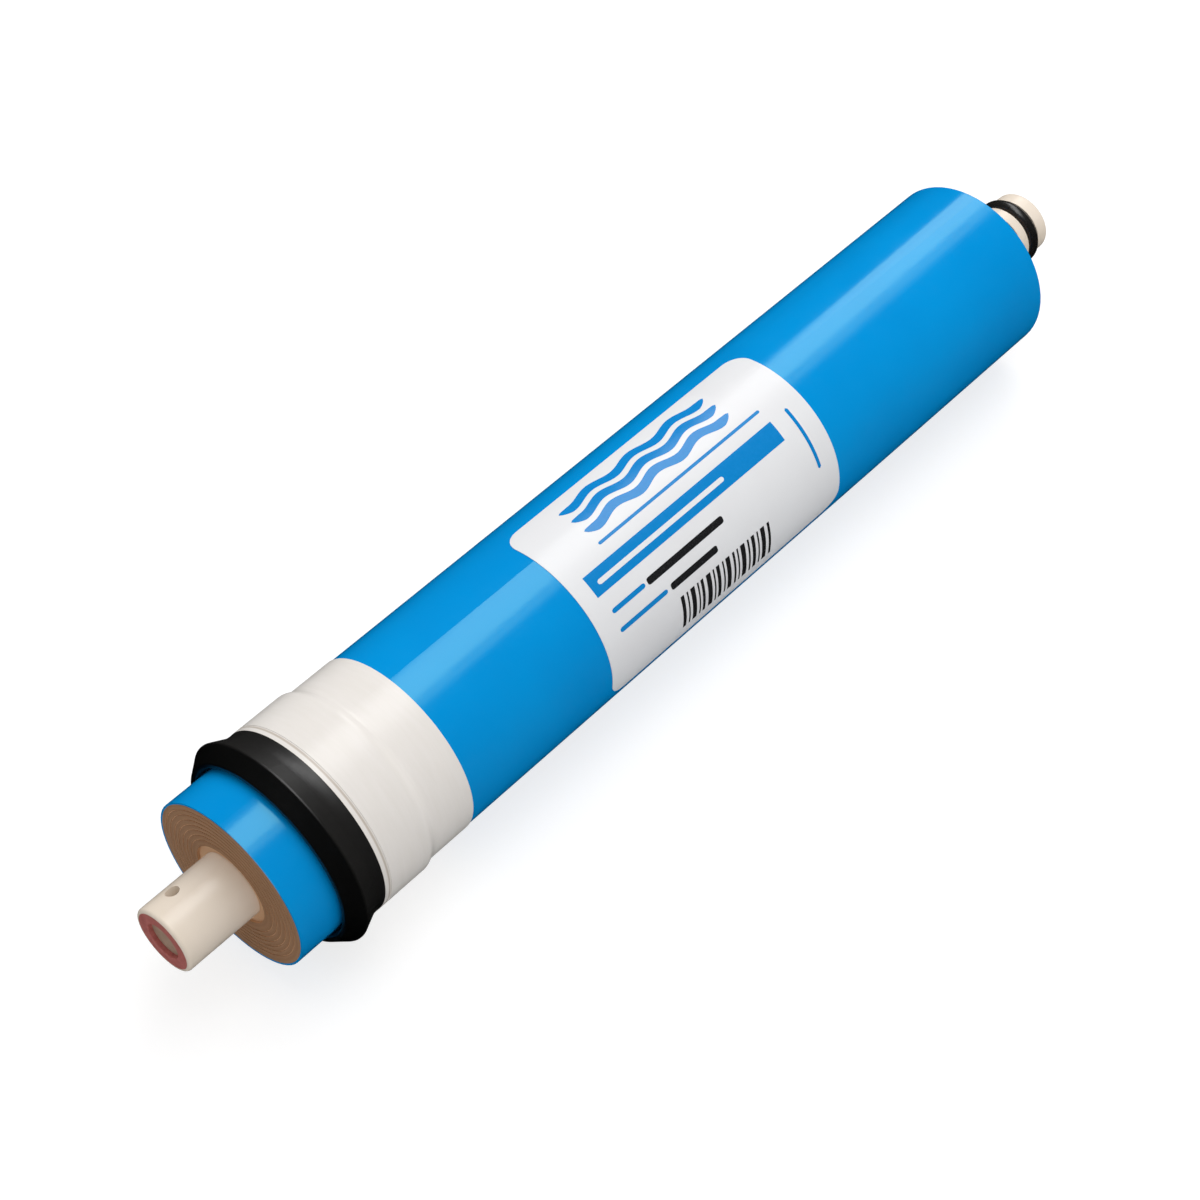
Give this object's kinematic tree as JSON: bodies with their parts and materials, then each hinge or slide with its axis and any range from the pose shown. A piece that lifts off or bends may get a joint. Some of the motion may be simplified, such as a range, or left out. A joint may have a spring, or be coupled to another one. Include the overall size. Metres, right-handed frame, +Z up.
{
  "type": "reverse osmosis membrane element",
  "caption": "Spiral-wound water filter element: blue wrapped cylinder with a flared rubber brine seal, a closed tube stub at one end and an O-ring spigot at the other.",
  "frame": {"origin": "on the water tube's axis, midway between its two ends", "axes": "+X along the tube towards the O-ring spigot, +Z up, the label faces up and towards -Y"},
  "size_m": [0.298, 0.0526, 0.0527],
  "materials": {
    "tube_plastic": "satin moulded cream plastic",
    "ring_red": "matte dull red",
    "plug_resin": "matte tan resin",
    "membrane": "matte brown cut edges of wound sheets",
    "wrap_blue": "glossy blue film and shell",
    "rubber_black": "satin black rubber",
    "tape_white": "satin warm white tape",
    "label_film": "satin white printed film"
  },
  "bodies": {
    "root": {"permeate_tube": "tube_plastic", "tube_end_ring": "ring_red", "bore_plug": "plug_resin", "membrane_roll": "membrane", "inner_wrap": "wrap_blue", "outer_wrap": "wrap_blue", "brine_seal": "rubber_black", "seal_tape": "tape_white", "label": "label_film", "o_ring_inner": "rubber_black", "o_ring_outer": "rubber_black"}
  },
  "joints": []
}
